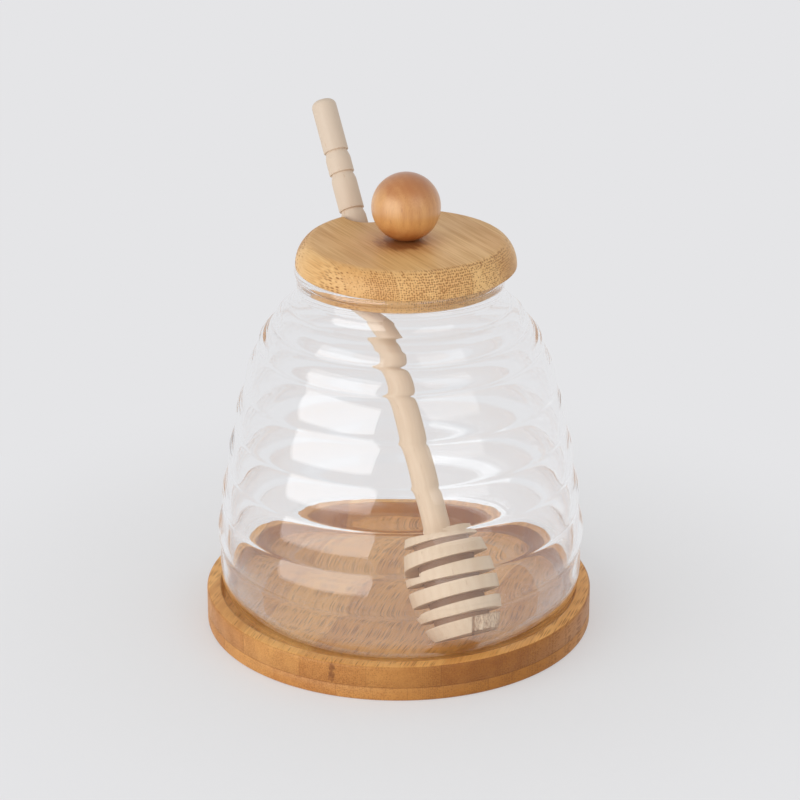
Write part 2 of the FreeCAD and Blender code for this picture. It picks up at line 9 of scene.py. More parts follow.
import bpy
from mathutils import Euler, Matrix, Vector


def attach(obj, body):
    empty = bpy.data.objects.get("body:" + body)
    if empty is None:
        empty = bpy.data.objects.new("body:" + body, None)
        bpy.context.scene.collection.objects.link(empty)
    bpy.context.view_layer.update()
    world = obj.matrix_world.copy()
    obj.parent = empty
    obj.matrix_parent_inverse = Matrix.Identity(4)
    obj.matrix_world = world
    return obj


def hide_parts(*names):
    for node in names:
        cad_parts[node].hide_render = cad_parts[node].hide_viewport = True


MM = 0.001
TOUCHING = 1e-6  # metres within which two points are one
Spot = tuple[float, float]
Place = tuple[float, float, float]
Colour = tuple[float, float, float]
ORIGIN: Place = (0.0, 0.0, 0.0)
EVEN: Place = (1.0, 1.0, 1.0)  # a stretch or a tint that changes nothing

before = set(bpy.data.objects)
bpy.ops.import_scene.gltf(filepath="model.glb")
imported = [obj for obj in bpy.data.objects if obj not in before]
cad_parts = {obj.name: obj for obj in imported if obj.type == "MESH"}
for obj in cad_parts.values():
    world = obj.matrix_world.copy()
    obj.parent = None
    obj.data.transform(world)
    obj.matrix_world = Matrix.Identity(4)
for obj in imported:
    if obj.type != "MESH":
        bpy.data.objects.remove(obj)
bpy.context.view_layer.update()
log = logging.getLogger("honey_pot")


# ---------------------------------------------------------------- material bench


class Ray(enum.Enum):
    """Kinds of ray that a material can tell apart."""

    CAMERA = "Is Camera Ray"
    SHADOW = "Is Shadow Ray"
    DIFFUSE = "Is Diffuse Ray"
    GLOSSY = "Is Glossy Ray"
    TRANSMISSION = "Is Transmission Ray"


class Blend(enum.Enum):
    """Ways to mix two colours."""

    MIX = "MIX"
    MULTIPLY = "MULTIPLY"


class Wire:
    """A number on its way through a material, on which Python's operators add Math nodes."""

    def __init__(self, bench: "Bench", socket: bpy.types.NodeSocket) -> None:
        """Keeps the socket that carries the number.

        Args:
            bench: The material being wired.
            socket: The output that the number comes from.
        """
        self.bench = bench
        self.socket = socket

    def _math(self, operation: str, *terms: "Term") -> "Wire":
        """Adds one Math node.

        Args:
            operation: The node's operation.
            terms: What goes into it.

        Returns:
            The node's result.
        """
        settings = {"operation": operation}
        return self.bench.node("ShaderNodeMath", settings, dict(enumerate(terms)))[0]

    def __add__(self, other: "Term") -> "Wire":
        """self + other."""
        return self._math("ADD", self, other)

    def __radd__(self, other: "Term") -> "Wire":
        """other + self."""
        return self._math("ADD", other, self)

    def __sub__(self, other: "Term") -> "Wire":
        """self - other."""
        return self._math("SUBTRACT", self, other)

    def __rsub__(self, other: "Term") -> "Wire":
        """other - self."""
        return self._math("SUBTRACT", other, self)

    def __mul__(self, other: "Term") -> "Wire":
        """self * other."""
        return self._math("MULTIPLY", self, other)

    def __truediv__(self, other: "Term") -> "Wire":
        """self / other."""
        return self._math("DIVIDE", self, other)

    def __abs__(self) -> "Wire":
        """The number without its sign."""
        return self._math("ABSOLUTE", self)

    def floor(self) -> "Wire":
        """The whole number below."""
        return self._math("FLOOR", self)

    def sine(self) -> "Wire":
        """The sine."""
        return self._math("SINE", self)

    def hypot(self, other: "Wire") -> "Wire":
        """The length of a vector with these two sides."""
        total = self * self + other * other
        return total._math("SQRT", total)

    def larger(self, other: "Term") -> "Wire":
        """The larger of the two."""
        return self._math("MAXIMUM", self, other)

    def swing(self, strength: float) -> "Wire":
        """A number from 0 to 1 as a swing about 0, this wide."""
        return (self - 0.5) * strength

    def fade(self, low: float, high: float) -> "Wire":
        """Falls smoothly from 1 below low to 0 above high."""
        return self.ramp(low, high, 1.0, 0.0)

    def ramp(self, low: float, high: float, start: float = 0.0, end: float = 1.0) -> "Wire":
        """Runs smoothly from one value to another between two thresholds.

        Args:
            low: Where the climb begins.
            high: Where the climb ends.
            start: The value below low.
            end: The value above high.

        Returns:
            The climbing value.
        """
        inputs = {"Value": self, "From Min": low, "From Max": high, "To Min": start, "To Max": end}
        settings = {"interpolation_type": "SMOOTHSTEP"}
        return self.bench.node("ShaderNodeMapRange", settings, inputs)[0]


Term = Union[Wire, float, Place, Colour]


class Bench:
    """Where the nodes of one material or world are wired together."""

    def __init__(self, owner: Union[bpy.types.Material, bpy.types.World]) -> None:
        """Empties the owner's node tree.

        Args:
            owner: The material or world being wired.
        """
        self.owner = owner
        owner.use_nodes = True
        self.tree = owner.node_tree
        self.tree.nodes.clear()

    def node(
        self, kind: str, settings: Optional[dict] = None, inputs: Optional[dict] = None
    ) -> list[Wire]:
        """Adds one node.

        Args:
            kind: The node's type.
            settings: Its own settings, set before its sockets.
            inputs: Values or wires by socket name or number.

        Returns:
            A wire for each of its outputs.
        """
        made = self.tree.nodes.new(kind)
        for key, value in (settings or {}).items():
            setattr(made, key, value)
        for key, value in (inputs or {}).items():
            if isinstance(value, Wire):
                self.tree.links.new(value.socket, made.inputs[key])
            else:
                made.inputs[key].default_value = value
        return [Wire(self, socket) for socket in made.outputs]

    def named(self, kind: str, output: str) -> Wire:
        """Adds a plain node and picks one of its outputs by name."""
        return next(wire for wire in self.node(kind) if wire.socket.name == output)

    def ray(self, kind: Ray) -> Wire:
        """1 for rays of a kind and 0 for others."""
        return self.named("ShaderNodeLightPath", kind.value)

    def vector(self, operation: str, first: Wire, second: Term) -> list[Wire]:
        """The outputs of one Vector Math node: a vector, and then a number."""
        return self.node("ShaderNodeVectorMath", {"operation": operation}, {0: first, 1: second})

    def turned(self, vector: Wire, angles: Place) -> Wire:
        """A vector turned about the axes by angles in radians."""
        inputs = {"Vector": vector, "Rotation": angles}
        return self.node("ShaderNodeMapping", {"vector_type": "POINT"}, inputs)[0]

    def place(self, turn_z: float = 0.0, stretch: Place = EVEN, moved: Place = ORIGIN) -> Wire:
        """Object coordinates, moved, then turned about Z, then stretched.

        Args:
            turn_z: Turn in radians.
            stretch: Factor along each axis after the turn.
            moved: What is taken from the place first.

        Returns:
            The coordinates as a vector.
        """
        away = self.vector("SUBTRACT", self.named("ShaderNodeTexCoord", "Object"), moved)[0]
        return self.vector("MULTIPLY", self.turned(away, (0.0, 0.0, -turn_z)), stretch)[0]

    def parts(self, vector: Wire) -> list[Wire]:
        """The X, Y and Z of a vector."""
        return self.node("ShaderNodeSeparateXYZ", None, {0: vector})

    def joined(self, x: Term, y: Term, z: Term) -> Wire:
        """A vector from three numbers."""
        return self.node("ShaderNodeCombineXYZ", None, {0: x, 1: y, 2: z})[0]

    def noise(self, vector: Wire, scale: float, detail: float = 3.0, rough: float = 0.55) -> Wire:
        """Cloudy noise from 0 to 1.

        Args:
            vector: Where it is read.
            scale: Blotches to a metre.
            detail: How many finer layers it has.
            rough: How strong the finer layers are.

        Returns:
            The noise.
        """
        inputs = {"Vector": vector, "Scale": scale, "Detail": detail, "Roughness": rough}
        return self.node("ShaderNodeTexNoise", None, inputs)[0]

    def cells(self, vector: Wire, scale: float, jitter: float = 1.0) -> tuple[Wire, Wire]:
        """Scattered points: the distance to the nearest, and a number that belongs to it.

        Args:
            vector: Where it is read.
            scale: Points to a metre.
            jitter: How far they stray from a grid.

        Returns:
            The distance, in spacings, and the number from 0 to 1.
        """
        inputs = {"Vector": vector, "Scale": scale, "Randomness": jitter}
        wires = self.node("ShaderNodeTexVoronoi", {"feature": "F1"}, inputs)
        return wires[0], self.parts(wires[1])[0]

    def lucky(self, number: Wire) -> Wire:
        """A random number from 0 to 1 that belongs to a number."""
        return self.node("ShaderNodeTexWhiteNoise", {"noise_dimensions": "1D"}, {"W": number})[0]

    def mix(self, share: Term, first: Term, second: Term, blend: Blend = Blend.MIX) -> Wire:
        """Mixes two colours.

        Args:
            share: How much of the second.
            first: The first colour.
            second: The second colour.
            blend: How they mix.

        Returns:
            The mixed colour.
        """
        settings = {"data_type": "RGBA", "blend_type": blend.value}
        return self.node("ShaderNodeMix", settings, {0: share, 6: rgba(first), 7: rgba(second)})[2]

    def tinted(self, colour: Wire, tint: Colour) -> Wire:
        """A colour multiplied by a tint."""
        return self.mix(1.0, colour, self.joined(*tint), Blend.MULTIPLY)

    def bump(self, height: Wire, depth: float) -> Wire:
        """The normal of a surface with this relief.

        Args:
            height: The relief, from 0 to 1.
            depth: How deep it is, in metres.

        Returns:
            The normal.
        """
        inputs = {"Strength": 1.0, "Distance": depth, "Height": height}
        return self.node("ShaderNodeBump", None, inputs)[0]

    def surface(self, **inputs: Term) -> Wire:
        """A Principled shader; underscores in a socket's name stand for spaces."""
        named = {key.replace("_", " "): value for key, value in inputs.items()}
        named["Base Color"] = rgba(named["Base Color"])
        return self.node("ShaderNodeBsdfPrincipled", None, named)[0]

    def plain(self, kind: str, colour: Colour = EVEN) -> Wire:
        """A simple shader of one even colour.

        Args:
            kind: What follows ShaderNode in its type.
            colour: Its colour.

        Returns:
            The shader.
        """
        return self.node("ShaderNode" + kind, None, {"Color": rgba(colour)})[0]

    def either(self, share: Wire, first: Wire, second: Wire) -> Wire:
        """Mixes two shaders, with this share of the second."""
        return self.node("ShaderNodeMixShader", None, {0: share, 1: first, 2: second})[0]


def rgba(colour: Term) -> Union[Wire, tuple[float, ...]]:
    """A colour as a socket takes it: a wire as it is, three numbers with an alpha of 1."""
    return colour if isinstance(colour, Wire) else (*colour, 1.0)


def paint(red: int, green: int, blue: int) -> Colour:
    """A colour given as it looks on a screen, from 0 to 255, as linear light."""

    def straight(level: int) -> float:
        """One channel as linear light."""
        share = level / 255
        return share / 12.92 if share <= 0.04045 else ((share + 0.055) / 1.055) ** 2.4

    return straight(red), straight(green), straight(blue)


# ---------------------------------------------------------------- modelling by operators


def nothing_selected() -> None:
    """Leaves edit mode and deselects every object."""
    if bpy.context.object and bpy.context.object.mode != "OBJECT":
        bpy.ops.object.mode_set(mode="OBJECT")
    bpy.ops.object.select_all(action="DESELECT")


def only(piece: bpy.types.Object) -> None:
    """Makes a piece the only one selected, and the active one."""
    nothing_selected()
    piece.select_set(True)
    bpy.context.view_layer.objects.active = piece


def spun(name: str, outline: list[Spot], steps: int) -> bpy.types.Object:
    """Draws an outline point by point and spins it round the upright axis.

    Args:
        name: The new piece's name.
        outline: (radius, height) points that start and end on the axis.
        steps: Facets round the axis.

    Returns:
        The closed piece, with its normals outwards.
    """
    nothing_selected()
    radius, height = outline[0]
    bpy.ops.mesh.primitive_plane_add(size=MM, location=(0, 0, 0))
    piece = bpy.context.object
    piece.name = name
    piece.data.name = name
    bpy.ops.object.mode_set(mode="EDIT")
    bpy.ops.mesh.select_all(action="SELECT")
    bpy.ops.mesh.merge(type="CENTER")
    bpy.ops.transform.translate(value=(radius, 0, height))
    for next_radius, next_height in outline[1:]:
        step = (next_radius - radius, 0, next_height - height)
        bpy.ops.mesh.extrude_region_move(TRANSFORM_OT_translate={"value": step})
        radius, height = next_radius, next_height
    bpy.ops.mesh.select_all(action="SELECT")
    bpy.ops.mesh.spin(steps=steps, angle=math.tau, center=(0, 0, 0), axis=(0, 0, 1))
    bpy.ops.mesh.select_all(action="SELECT")
    bpy.ops.mesh.remove_doubles(threshold=TOUCHING)
    bpy.ops.mesh.normals_make_consistent(inside=False)
    bpy.ops.object.mode_set(mode="OBJECT")
    bpy.ops.object.shade_smooth()
    return piece


def put(piece: bpy.types.Object, place: Vector, lean: float = 0.0, heading: float = 0.0) -> None:
    """Leans a piece towards a heading, moves it to its place, and applies both to its mesh.

    Args:
        piece: The piece, drawn upright at the origin.
        place: Where its origin goes.
        lean: Lean from upright, in radians.
        heading: Direction of the lean, in radians from +X.
    """
    only(piece)
    piece.rotation_euler = (0.0, lean, heading)
    piece.location = place
    bpy.ops.object.transform_apply(location=True, rotation=True, scale=True)


def apply_modifier(piece: bpy.types.Object, kind: str, **settings: object) -> None:
    """Adds a modifier to a piece and applies it.

    Args:
        piece: The piece.
        kind: The modifier's type.
        settings: Its settings.
    """
    only(piece)
    made = piece.modifiers.new(kind.title(), kind)
    for key, value in settings.items():
        setattr(made, key, value)
    bpy.ops.object.modifier_apply(modifier=made.name)


def pick_points(piece: bpy.types.Object, wanted: Callable[[Vector], bool]) -> None:
    """Selects in object mode the points that pass a test, and nothing else.

    Args:
        piece: The piece.
        wanted: The test, on a point's place.
    """
    for face in piece.data.polygons:
        face.select = False
    for edge in piece.data.edges:
        edge.select = False
    for point in piece.data.vertices:
        point.select = wanted(point.co)


def group_points(piece: bpy.types.Object, name: str, weight: Callable[[Vector], float]) -> None:
    """Makes a vertex group whose weights come from a formula.

    Args:
        piece: The piece.
        name: The group's name.
        weight: The weight of a point at a place, from 0 to 1.
    """
    group = piece.vertex_groups.new(name=name)
    for point in piece.data.vertices:
        share = weight(point.co)
        if share > 0:
            group.add([point.index], share, "REPLACE")


def curved(centre: Spot, radius: float, start: float, end: float, steps: int) -> list[Spot]:
    """Points of an arc.

    Args:
        centre: The arc's centre.
        radius: Its radius.
        start: Its first angle, in degrees.
        end: Its last angle, in degrees.
        steps: How many stretches it is drawn in.

    Returns:
        The arc's points, both ends included.
    """
    angles = [math.radians(start + (end - start) * k / steps) for k in range(steps + 1)]
    return [(centre[0] + radius * math.cos(a), centre[1] + radius * math.sin(a)) for a in angles]


def level_arc(start: Spot, end: Spot, level: float, steps: int) -> list[Spot]:
    """Points of an arc between two spots whose centre lies at a known height.

    Args:
        start: The first spot.
        end: The last spot.
        level: The centre's height.
        steps: How many stretches it is drawn in.

    Returns:
        The arc's points, both ends included.
    """
    (x0, y0), (x1, y1) = start, end
    middle = (x1**2 - x0**2 + (y1 - level) ** 2 - (y0 - level) ** 2) / (2 * (x1 - x0))
    first = math.degrees(math.atan2(y0 - level, x0 - middle))
    last = math.degrees(math.atan2(y1 - level, x1 - middle))
    turn = (last - first + 180) % 360 - 180
    return curved((middle, level), math.dist((middle, level), start), first, first + turn, steps)


def clamped(share: float) -> float:
    """A number held between 0 and 1."""
    return min(max(share, 0.0), 1.0)


# ---------------------------------------------------------------- finishes


@dataclass(frozen=True)
class Finish:
    """What a piece is made of."""

    name: str

    def shader(self, bench: Bench) -> Wire:
        """Wires the finish on a bench and gives its shader."""
        raise NotImplementedError

    def made(self) -> bpy.types.Material:
        """The finish as a material."""
        bench = Bench(bpy.data.materials.new(self.name))
        bench.node("ShaderNodeOutputMaterial", None, {"Surface": self.shader(bench)})
        return bench.owner


@dataclass(frozen=True)
class Bamboo(Finish):
    """Laminated bamboo: strips of fibre that show as streaks along and as dots across."""

    heading: float  # of the fibres, in degrees from +X
    light: Colour
    dark: Colour
    dot: Colour
    fine_spacing: float
    coarse_spacing: float
    fibre_stretch: float  # how much longer than wide a fibre bundle shows
    strip_contrast: float
    streaks: float  # how strongly fibres show along
    dots: float  # how strongly they show across
    seam_height: float  # of the glue line between two layers
    coarse_share: float = 0.5  # of the strips
    fibre_jitter: float = 0.45
    strip_width: float = 11.0 * MM
    strip_shift: float = 0.43  # from one layer to the next, in strips
    strip_seam: float = 0.022  # of a strip's width
    glue: float = 0.16 * MM
    middle_shade: float = 0.45
    fine_contrast: float = 0.9
    broad_contrast: float = 0.4
    cloud_contrast: float = 0.6
    gloss: float = 0.42
    mirror: float = 0.42
    relief: float = 0.05 * MM
    painted_level_light: Colour = EVEN  # painted light: how much lighter the level faces are painted than the edge
    painted_edge_shade: Colour = EVEN  # painted shade: how much darker the cut edge is painted towards its right
    stain: float = 0.0  # how dark the smudge round the knob is
    stain_radius: float = 7.5 * MM
    stain_ragged: float = 9.0 * MM
    stain_place: Place = ORIGIN
    stain_colour: Colour = paint(128, 66, 22)
    halo_colour: Colour = paint(186, 118, 56)
    knot_place: Optional[Place] = None
    knot_ragged: float = 2.4 * MM
    knot_colour: Colour = paint(112, 58, 22)

    def lengthwise(self, bench: Bench, share: float = 1.0) -> Wire:
        """Object coordinates with X along the fibres, where lengths count for this share."""
        return bench.place(math.radians(self.heading), (share, 1.0, 1.0))

    def fibres(self, bench: Bench, spacing: float, broad: Wire) -> Wire:
        """Fibre bundles, from 0 between them to 1 on them.

        Args:
            bench: The material being wired.
            spacing: Distance between bundles.
            broad: Slow noise that makes bundles thicker and thinner.

        Returns:
            The bundles.
        """
        spots = self.lengthwise(bench, 1.0 / self.fibre_stretch)
        away, kind = bench.cells(spots, 1.0 / spacing, self.fibre_jitter)
        size = 0.27 + kind * 0.12 + broad.swing(0.16)
        return 1.0 - (away - size).ramp(-0.10, 0.14)

    def cut(self, bench: Bench, normal: Wire) -> Wire:
        """How squarely a face cuts across the fibres, from 0 to 1."""
        turn = math.radians(self.heading)
        fibre = (math.cos(turn), math.sin(turn), 0.0)
        return abs(bench.vector("DOT_PRODUCT", normal, fibre)[1]).ramp(0.10, 0.36)

    def knot(self, bench: Bench) -> Wire:
        """The dark ragged mark of a culm joint in the upper layer, from 0 to 1."""
        x, y, z = bench.parts(bench.place(moved=self.knot_place))
        ragged = bench.noise(bench.place(), 900.0)
        beside = (abs(x) - ragged.swing(self.knot_ragged)).fade(0.2 * MM, 1.2 * MM)
        mark = beside * abs(z).fade(2.2 * MM, 3.2 * MM) * (0.3 + ragged * 0.7)
        joint = abs(x).fade(0.05 * MM, 0.35 * MM) * abs(z).fade(3.0 * MM, 3.4 * MM)
        return mark.larger(joint * 0.6) * y.fade(2.0 * MM, 6.0 * MM)

    def stained(self, bench: Bench, colour: Wire) -> Wire:
        """The colour with a smudge, and a paler halo round it, rubbed along the fibres."""
        x, y, _ = bench.parts(bench.place(moved=self.stain_place))
        smear = bench.noise(self.lengthwise(bench, 0.3), 520.0)
        near = (x.hypot(y) + smear.swing(self.stain_ragged)) / self.stain_radius
        colour = bench.mix(near.fade(0.6, 2.1) * self.stain * 0.5, colour, self.halo_colour)
        return bench.mix(near.fade(0.55, 1.2) * self.stain, colour, self.stain_colour)

    def painted_light_and_shade(self, bench: Bench, colour: Wire, normal: Wire) -> Wire:
        """The colour, with painted light on level faces and painted shade towards the right of the
        cut edge.

        Args:
            bench: The material being wired.
            colour: The colour so far.
            normal: The face's direction.

        Returns:
            The new colour.
        """
        # Painted light: level faces are made lighter, standing in for the light that falls on the
        # top.
        level = abs(bench.parts(normal)[2]).ramp(0.80, 0.98)
        colour = bench.mix(level, colour, bench.tinted(colour, self.painted_level_light))
        # Painted shade: the cut edge is made darker towards its right, the side away from the
        # window lamp.
        x = bench.parts(bench.place())[0]
        right = x.ramp(-28.0 * MM, 34.0 * MM) * x.ramp(42.0 * MM, 58.0 * MM, 1.0, 0.4)
        return bench.mix(right * (1.0 - level), colour, bench.tinted(colour, self.painted_edge_shade))

    def shader(self, bench: Bench) -> Wire:
        """Wires the bamboo.

        Args:
            bench: The material being wired.

        Returns:
            Its shader.
        """
        # Strips lie side by side in two layers, and each strip has its own tone and fibres.
        _, across, up = bench.parts(self.lengthwise(bench))
        layer = up.ramp(self.seam_height - 0.05 * MM, self.seam_height + 0.05 * MM)
        column = across / self.strip_width + layer * self.strip_shift
        strip = column.floor() + layer * 17.0
        seam = (1.0 - abs((column - column.floor()) - 0.5) * 2.0).fade(0.0, self.strip_seam)
        glue = abs(up - self.seam_height).fade(0.0, self.glue)

        fine = bench.noise(self.lengthwise(bench, 0.02), 2300.0, 4.0, 0.65)
        broad = bench.noise(self.lengthwise(bench, 0.05), 300.0)
        cloud = bench.noise(self.lengthwise(bench, 0.45), 42.0, 2.0)
        small = self.fibres(bench, self.fine_spacing, broad)
        large = self.fibres(bench, self.coarse_spacing, broad)
        limit = 1.0 - self.coarse_share
        coarse = bench.lucky(strip + 0.37).ramp(limit - 0.02, limit + 0.02)
        bundles = small + (large - small) * coarse

        shade = self.middle_shade + bench.lucky(strip).swing(self.strip_contrast)
        shade = shade + fine.swing(self.fine_contrast) + broad.swing(self.broad_contrast)
        shade = shade + cloud.swing(self.cloud_contrast)
        colour = bench.mix(shade.ramp(0.0, 1.0), self.light, self.dark)

        # Where a face cuts across the fibres they show as dots, elsewhere as streaks.
        normal = bench.named("ShaderNodeTexCoord", "Normal")
        cut = self.cut(bench, normal)
        strength = self.streaks + cut * (self.dots - self.streaks)
        colour = bench.mix(bundles * strength, colour, self.dot)
        colour = bench.mix((seam * 0.3).larger(glue * 0.5), colour, self.dot)
        if self.knot_place is not None:
            colour = bench.mix(self.knot(bench), colour, self.knot_colour)
        if self.stain > 0:
            colour = self.stained(bench, colour)
        relief = 1.0 - bundles * (0.25 + cut * 0.5) - (1.0 - fine) * 0.25
        return bench.surface(
            Base_Color=self.painted_light_and_shade(bench, colour, normal),
            Roughness=self.gloss + fine.swing(0.2) + bundles * 0.12,
            Normal=bench.bump(relief - seam * 0.4 - glue * 0.5, self.relief),
            Specular_IOR_Level=self.mirror,
        )


@dataclass(frozen=True)
class TurnedWood(Finish):
    """Close-grained wood turned on a lathe, its fibres along the piece's own axis."""

    light: Colour
    dark: Colour
    fleck: Colour
    # The core colour is painted shade, for the recesses between the discs and the crack in the
    # foot disc.
    core: Colour
    foot: Place  # where the piece's axis starts
    gloss: float
    figure: float  # how strongly the grain shows
    lean: float = 0.0
    heading: float = 0.0
    painted_shade_radius: float = 0.0  # inside this the wood takes the darker core colour, as painted shade in the recesses between the discs
    painted_shade_height: float = 0.0  # up to here
    mirror: float = 0.4
    coat: float = 0.0
    coat_gloss: float = 0.34
    middle_shade: float = 0.42
    blush: float = 0.0  # how strongly broad warm patches show
    end_height: float = 0.0  # beyond this far up or down from the middle the wood is darker
    pale_height: float = 0.0  # from the foot up to here the wood slowly turns paler
    pale: Colour = EVEN
    torn_from: float = 0.0  # along X from the foot, where the foot disc is torn
    torn_height: float = 0.0
    grain: float = 900.0  # streaks to a metre
    ring_spacing: float = 0.42 * MM
    ring_warp: float = 6.0 * MM
    relief: float = 0.05 * MM

    def rings(self, bench: Bench, x: Wire, y: Wire, z: Wire) -> Wire:
        """Growth rings that cross the piece as slanted sheets, from -1 to 1."""
        warp = bench.noise(bench.joined(x, y, z * 0.15), 120.0, 2.0)
        return ((x * 0.8 + y * 0.6 + warp * self.ring_warp) / self.ring_spacing).sine()

    def torn(self, bench: Bench, colour: Wire, x: Wire, y: Wire, z: Wire) -> Wire:
        """The colour with a crack darkened by painted shade, and dark splinters, on one side of
        the foot disc.

        Args:
            bench: The material being wired.
            colour: The colour so far.
            x: Place across the piece.
            y: Place across the piece, the other way.
            z: Place along the piece.

        Returns:
            The new colour.
        """
        sideways = bench.parts(bench.place(moved=self.foot))[0] - self.torn_from
        low = z.fade(self.torn_height, self.torn_height + 0.2 * MM)
        splinters = bench.noise(bench.joined(x, y, z * 0.25), 1500.0, 4.0, 0.65).ramp(0.42, 0.62)
        torn = sideways.ramp(-0.3 * MM, 0.3 * MM) * low
        colour = bench.mix(torn * splinters * 0.55, colour, self.core)
        # Painted shade: the crack line is darkened with the core colour.
        return bench.mix(abs(sideways).fade(0.15 * MM, 0.55 * MM) * low * 0.6, colour, self.core)

    def shader(self, bench: Bench) -> Wire:
        """Wires the wood.

        Args:
            bench: The material being wired.

        Returns:
            Its shader.
        """
        place = bench.place(self.heading, moved=self.foot)
        x, y, z = bench.parts(bench.turned(place, (0.0, -self.lean, 0.0)))
        radius = x.hypot(y)
        drawn = bench.joined(x, y, z * 0.07)
        fine = bench.noise(drawn, self.grain * 3.2, 4.0, 0.6)
        broad = bench.noise(drawn, self.grain * 0.42)
        patch = bench.noise(bench.joined(x, y, z * 0.6), 85.0, 2.0)
        rings = self.rings(bench, x, y, z)

        figure = fine.swing(0.6) + broad.swing(0.5) + rings * 0.06
        shade = self.middle_shade + figure * self.figure + patch.swing(0.4 + self.blush)
        if self.end_height > 0:
            shade = shade + abs(z).ramp(self.end_height * 0.2, self.end_height) * 0.5
        colour = bench.mix(shade.ramp(0.0, 1.0), self.light, self.dark)
        if self.pale_height > 0:
            paler = z.ramp(self.pale_height * 0.3, self.pale_height)
            colour = bench.mix(paler * 0.75, colour, self.pale)
        away, kind = bench.cells(bench.joined(x, y, z * 0.16), 900.0)
        flecks = away.fade(0.10, 0.2) * kind.ramp(0.55, 0.7)
        colour = bench.mix(flecks * 0.4, colour, self.fleck)
        if self.torn_height > 0:
            colour = self.torn(bench, colour, x, y, z)
        # Painted shade: the recesses between the discs are darkened with the core colour.
        if self.painted_shade_radius > 0:
            inner = radius.fade(self.painted_shade_radius, self.painted_shade_radius + 0.35 * MM)
            below = z.fade(self.painted_shade_height - 0.2 * MM, self.painted_shade_height)
            above = z.ramp(0.1 * MM, 0.4 * MM)
            colour = bench.mix(inner * below * above * 0.75, colour, self.core)
        # The lathe leaves faint rings round the piece.
        lathe = bench.noise(bench.joined(radius * 0.2, 0.0, z), 2600.0, 2.0)
        return bench.surface(
            Base_Color=colour,
            Roughness=self.gloss + fine.swing(0.22),
            Normal=bench.bump(fine * 0.55 + lathe * 0.3 + rings * 0.06, self.relief),
            Specular_IOR_Level=self.mirror,
            Coat_Weight=self.coat,
            Coat_Roughness=self.coat_gloss,
        )


@dataclass(frozen=True)
class ClearGlass(Finish):
    """Clear pressed glass that lets lamp light through to what it holds."""

    tint: Colour = (0.993, 0.993, 0.993)
    shadow_tint: Colour = (0.965, 0.968, 0.968)
    index: float = 1.5
    ripples: float = 38.0  # to a metre
    ripple_depth: float = 0.16 * MM

    def shader(self, bench: Bench) -> Wire:
        """Wires the glass.

        Args:
            bench: The material being wired.

        Returns:
            Its shader.
        """
        ripple = bench.noise(bench.place(stretch=(1.0, 1.0, 2.2)), self.ripples, 2.0, 0.4)
        glass = bench.surface(
            Base_Color=self.tint,
            Transmission_Weight=1.0,
            Roughness=0.0,
            IOR=self.index,
            Normal=bench.bump(ripple, self.ripple_depth),
        )
        unbent = bench.ray(Ray.SHADOW).larger(bench.ray(Ray.DIFFUSE))
        return bench.either(unbent, glass, bench.plain("BsdfTransparent", self.shadow_tint))


@dataclass(frozen=True)
class PaleGround(Finish):
    """Plain pale floor that keeps a soft shadow near the pot and is even further out.

    Glossy rays pass it away from the pot, so that the jar mirrors the whole of a tall lamp.
    """

    albedo: float = 0.9
    far_colour: Colour = paint(229, 229, 231)
    shadow_reach: float = 0.055
    even_from: float = 0.19
    least_even: float = 0.45  # next to the pot
    open_from: float = 0.07
    open_full: float = 0.09

    def shader(self, bench: Bench) -> Wire:
        """Wires the floor.

        Args:
            bench: The material being wired.

        Returns:
            Its shader.
        """
        x, y, _ = bench.parts(bench.place())
        out = x.hypot(y)
        mirrored, through = bench.ray(Ray.GLOSSY), bench.ray(Ray.TRANSMISSION)
        seen = bench.ray(Ray.CAMERA).larger(mirrored).larger(through)
        near = bench.plain("BsdfDiffuse", (self.albedo,) * 3)
        far = bench.plain("Emission", self.far_colour)
        even = seen * out.ramp(self.shadow_reach, self.even_from, self.least_even)
        passed = mirrored + through * y.fade(-self.open_from, 0.0)
        passed = passed * out.ramp(self.open_from, self.open_full)
        return bench.either(passed, bench.either(even, near, far), bench.plain("BsdfTransparent"))


# ---------------------------------------------------------------- pieces


@dataclass
class Piece:
    """One piece of the pot, which takes the place of its node."""

    node: ClassVar[str]
    slot: ClassVar[str]

    def formed(self) -> bpy.types.Object:
        """Makes the mesh in its place."""
        raise NotImplementedError

    def build(self, finish: Finish) -> None:
        """Makes the piece, dresses it, and puts it in place of its node.

        Args:
            finish: What it is made of.
        """
        piece = self.formed()
        piece.data.materials.clear()
        piece.data.materials.append(finish.made())
        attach(piece, "root")
        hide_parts(self.node)
        size = " x ".join(f"{side / MM:.1f}" for side in piece.dimensions)
        log.info("%s: %s mm, %d faces", piece.name, size, len(piece.data.polygons))


@dataclass
class Saucer(Piece):
    """Round bamboo board with a shallow recess for the jar."""

    node = "saucer"
    slot = "saucer_bamboo"
    radius: float = 60.0 * MM
    thick: float = 11.2 * MM
    recess_radius: float = 55.4 * MM
    floor: float = 5.0 * MM
    edge_round: float = 0.8 * MM
    corner_round: float = 1.5 * MM
    seam_height: float = 4.4 * MM
    seam_depth: float = 0.12 * MM
    arc_steps: int = 8
    steps: int = 256

    def outline(self) -> list[Spot]:
        """The board's half section, from the middle of its underside round to its floor."""
        soft, corner, arc = self.edge_round, self.corner_round, self.arc_steps
        seam, dip = self.seam_height, self.seam_depth
        return [
            (0.0, 0.0),
            *[(self.radius * share, 0.0) for share in (0.25, 0.5, 0.75, 0.95)],
            *curved((self.radius - soft, soft), soft, -90, 0, arc),
            (self.radius, seam - dip),
            (self.radius - dip, seam),
            (self.radius, seam + dip),
            *curved((self.radius - soft, self.thick - soft), soft, 0, 90, arc),
            *curved((self.recess_radius + soft, self.thick - soft), soft, 90, 180, arc),
            *curved((self.recess_radius - corner, self.floor + corner), corner, 0, -90, arc),
            *[(self.recess_radius * share, self.floor) for share in (0.93, 0.7, 0.45, 0.2)],
            (0.0, self.floor),
        ]

    def formed(self) -> bpy.types.Object:
        """Makes the saucer."""
        return spun("saucer_board", self.outline(), self.steps)


